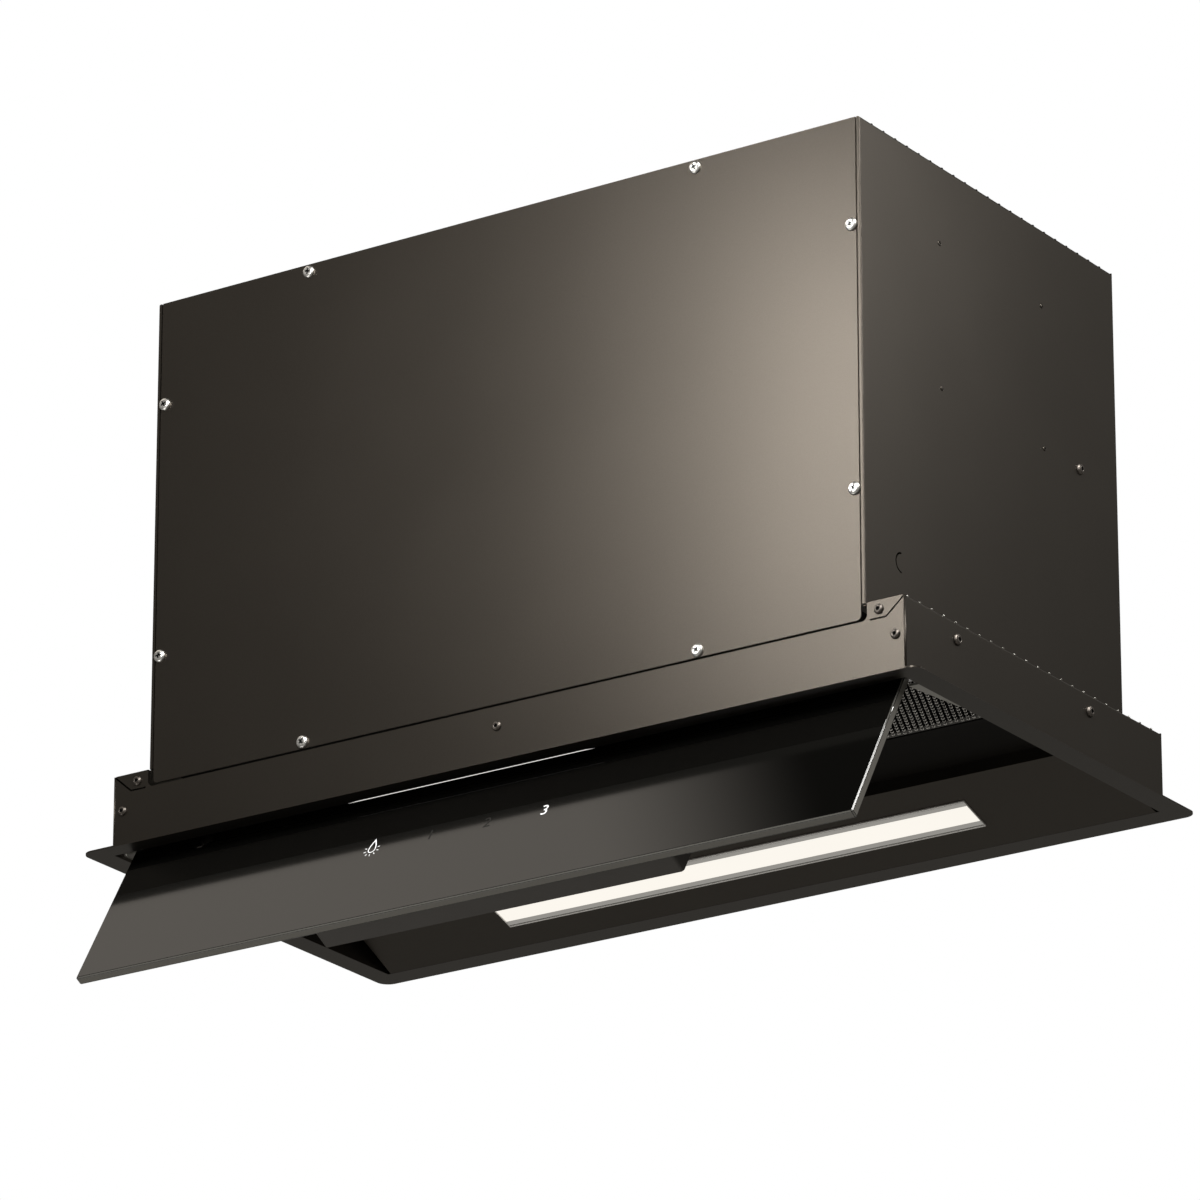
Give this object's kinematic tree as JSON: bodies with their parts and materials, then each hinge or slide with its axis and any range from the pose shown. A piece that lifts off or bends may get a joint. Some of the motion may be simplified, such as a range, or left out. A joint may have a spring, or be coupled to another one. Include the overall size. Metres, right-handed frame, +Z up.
{
  "type": "built-in range hood",
  "caption": "Built-in range hood with a flanged collar, a tall blower housing, a black glass flap that swings down at the front, a mesh grease filter, a lamp bar and a round duct outlet on top.",
  "frame": {"origin": "middle of the front lip of the flange, on its top face, which lies against the underside of the cabinet", "axes": "+X to the right of someone who faces the hood, +Y to the rear, +Z up along the housing"},
  "size_m": [0.598, 0.3491, 0.4919],
  "materials": {
    "bronze_paint": "metallic dark bronze powder coat, satin",
    "flap_glass": "black toughened glass, polished edges",
    "galvanised_steel": "galvanised sheet",
    "filter_aluminium": "pleated aluminium mesh",
    "chrome_screw": "bright plated",
    "dark_screw": "black zinc plated",
    "zinc": "zinc plated",
    "lamp_silver": "satin silver frame",
    "lamp_white": "opal diffuser, lit",
    "black_plastic": "moulded black",
    "brown_plastic": "moulded dark brown",
    "grey_plastic": "moulded grey",
    "circuit_board": "solder resist",
    "motor_aluminium": "die cast",
    "shaft_steel": "ground"
  },
  "bodies": {
    "hood": {"flange_frame": "bronze_paint", "collar_front": "bronze_paint", "collar_side_left": "bronze_paint", "collar_side_right": "bronze_paint", "collar_rear": "bronze_paint", "housing_shell": "bronze_paint", "rear_panel": "bronze_paint", "front_cover": "bronze_paint", "plenum_rail": "bronze_paint", "inner_pan": "bronze_paint", "lamp_panel": "bronze_paint", "side_rivets": "bronze_paint", "side_plates": "galvanised_steel", "scroll_wall": "galvanised_steel", "scroll_side_left": "galvanised_steel", "scroll_side_right": "galvanised_steel", "filter_frame": "filter_aluminium", "filter_mesh": "filter_aluminium", "cover_screws": "chrome_screw", "collar_screws": "dark_screw", "side_screws": "dark_screw", "hinge_bracket_left": "zinc", "hinge_bracket_right": "zinc", "motor_bracket": "zinc", "capacitor_band": "zinc", "spigot_screws": "zinc", "motor_screws": "zinc", "lamp_frame": "lamp_silver", "lamp_diffuser": "lamp_white", "front_light_lens": "lamp_white", "outlet_duct": "black_plastic", "outlet_spigot": "black_plastic", "electronics_box": "black_plastic", "electronics_lid": "black_plastic", "cable_gland": "black_plastic", "lamp_driver": "grey_plastic", "lamp_board": "circuit_board", "front_light_board": "circuit_board", "power_board": "circuit_board", "motor_case": "motor_aluminium", "run_capacitor": "motor_aluminium", "backdraught_pin": "shaft_steel", "filter_springs": "shaft_steel"},
    "flap": {"glass_flap": "flap_glass", "hinge_arm_left": "zinc", "hinge_arm_right": "zinc", "hinge_pins": "shaft_steel", "sensor_board": "circuit_board", "sensor_ribbon": "grey_plastic", "control_housing": "brown_plastic", "control_lid": "brown_plastic", "control_board": "circuit_board"},
    "fan": {"impeller": "galvanised_steel", "motor_shaft": "shaft_steel"},
    "backdraught_front": {"backdraught_flap_front": "grey_plastic"},
    "backdraught_rear": {"backdraught_flap_rear": "grey_plastic"}
  },
  "joints": [
    {"name": "flap_hinge", "type": "hinge", "parent": "hood", "child": "flap", "pos_m": [0, 0.0324, 0.009], "axis": [1, 0, 0], "range_deg": [0, 120.4]},
    {"name": "fan_spin", "type": "hinge", "parent": "hood", "child": "fan", "pos_m": [0, 0.1284, 0.2], "axis": [1, 0, 0], "continuous": true},
    {"name": "backdraught_front_swing", "type": "hinge", "parent": "hood", "child": "backdraught_front", "pos_m": [0, 0.2044, 0.3636], "axis": [-1, 0, 0], "range_deg": [0, 80]},
    {"name": "backdraught_rear_swing", "type": "hinge", "parent": "hood", "child": "backdraught_rear", "pos_m": [0, 0.2044, 0.3636], "axis": [1, 0, 0], "range_deg": [0, 80]}
  ]
}
